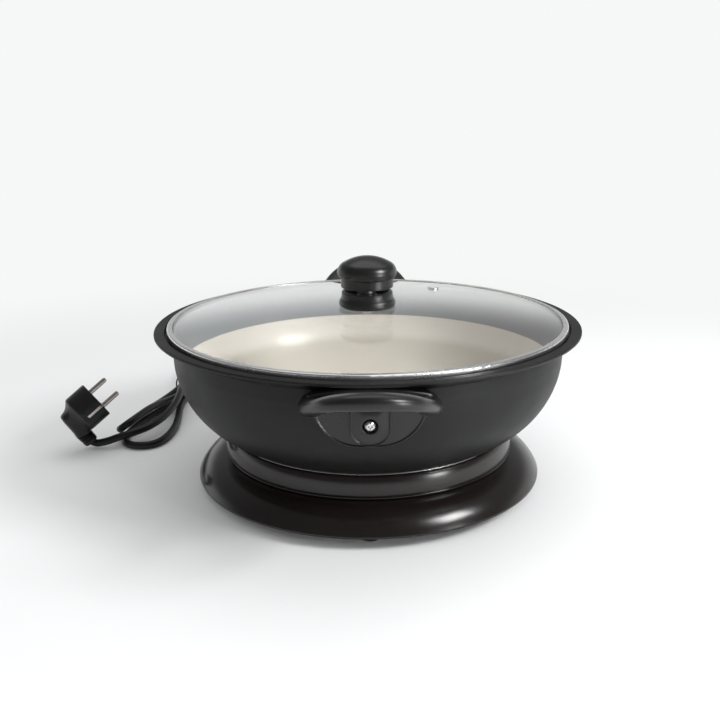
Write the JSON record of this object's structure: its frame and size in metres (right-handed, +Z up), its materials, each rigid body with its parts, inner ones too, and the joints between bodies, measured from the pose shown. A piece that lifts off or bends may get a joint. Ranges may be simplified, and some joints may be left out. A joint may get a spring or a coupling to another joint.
{
  "type": "electric wok",
  "caption": "Electric wok with a round cast pan on a two-tier base, two loop handles, a lift-off glass lid with a knob and a plug-in controller with cord.",
  "frame": {"origin": "on the table under the middle of the pan", "axes": "+Z up along the pan's axis, -Y towards the front handle, +Y towards the rear handle and the controller"},
  "size_m": [0.4767, 0.5612, 0.1968],
  "materials": {
    "pan_coating": "matte",
    "cast_aluminium": "satin",
    "heater_sheath": "dull",
    "ceramic_bead": "matte",
    "nickel_pin": "polished",
    "steel_sheet": "satin",
    "steel_screw": "polished",
    "base_gloss": "glossy",
    "rubber_foot": "matte",
    "bakelite": "satin",
    "lid_glass": "polished",
    "lid_band": "polished",
    "silicone_pad": "matte",
    "controller_case": "satin",
    "switch_copper": "satin",
    "pilot_red": "glossy",
    "cord_pvc": "satin",
    "plug_pvc": "satin"
  },
  "bodies": {
    "cooker": {"pan_body": "pan_coating", "heating_element": "heater_sheath", "terminal_insulators": "ceramic_bead", "terminal_pins": "nickel_pin", "terminal_guard": "steel_sheet", "guard_screws": "steel_screw", "base_collar": "base_gloss", "base_skirt": "base_gloss", "base_screws": "steel_screw", "feet": "rubber_foot", "foot_screws": "steel_screw", "handle_front": "bakelite", "handle_rear": "bakelite", "handle_screws": "steel_screw"},
    "lid": {"lid_glass": "lid_glass", "lid_rim": "lid_band", "vent_grommet": "lid_band", "knob_collar": "bakelite", "knob_stem": "steel_sheet", "knob_cap": "bakelite", "knob_screw": "steel_screw", "knob_washer": "silicone_pad"},
    "controller": {"controller_base": "controller_case", "controller_cover": "controller_case", "contact_block": "plug_pvc", "contact_sleeves": "switch_copper", "thermostat_probe": "steel_sheet", "thermostat_bracket": "steel_sheet", "switch_blades": "switch_copper", "controller_screws": "steel_screw", "pilot_lens": "pilot_red", "strain_relief": "cord_pvc", "cord_supply": "cord_pvc", "cord_hank": "cord_pvc", "cord_tie": "plug_pvc", "cord_plug_lead": "cord_pvc", "plug_body": "plug_pvc", "plug_pins": "nickel_pin", "plug_earth_clips": "nickel_pin"},
    "dial": {"dial_knob": "bakelite", "dial_shaft": "steel_sheet"}
  },
  "joints": [
    {"name": "lid_lift", "type": "slide", "parent": "cooker", "child": "lid", "axis": [0, 0, 1], "range_m": [0, 0.15]},
    {"name": "controller_pull", "type": "slide", "parent": "cooker", "child": "controller", "axis": [0, 1, 0], "range_m": [0, 0.09]},
    {"name": "dial_turn", "type": "hinge", "parent": "controller", "child": "dial", "pos_m": [0, 0.183, 0.0589], "axis": [0, 0, 1], "range_deg": [-270, 0]}
  ]
}
